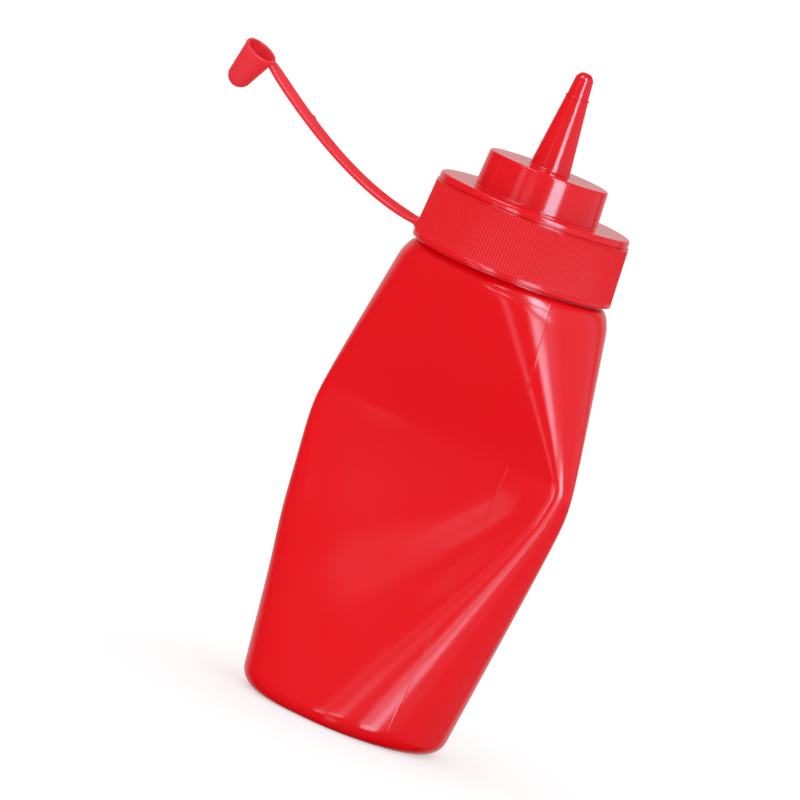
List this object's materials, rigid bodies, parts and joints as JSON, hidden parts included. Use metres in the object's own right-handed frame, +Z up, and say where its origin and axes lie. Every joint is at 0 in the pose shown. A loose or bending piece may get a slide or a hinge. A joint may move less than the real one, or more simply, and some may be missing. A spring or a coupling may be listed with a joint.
{
  "type": "squeeze bottle",
  "caption": "Soft plastic sauce squeeze bottle, pressed in at the front, with a ribbed screw cap, cone nozzle and an open tip cap on a springy strap.",
  "frame": {"origin": "centre of the flat base, on the axis of the cap and nozzle, where the bottle stands", "axes": "+Z up along the bottle to the nozzle's tip, -Y to the front with the thumb's dish, +X to the right; the tip cap's strap reaches to -X"},
  "size_m": [0.1292, 0.0584, 0.1899],
  "materials": {
    "bottle_plastic": "smooth soft blow-moulded plastic with a satin gloss",
    "cap_plastic": "glossy injection-moulded plastic",
    "strap_plastic": "glossy flexible injection-moulded plastic"
  },
  "bodies": {
    "root": {"bottle_body": "bottle_plastic", "screw_cap": "cap_plastic", "tether_strap": "strap_plastic", "tip_cap": "strap_plastic"}
  },
  "joints": []
}
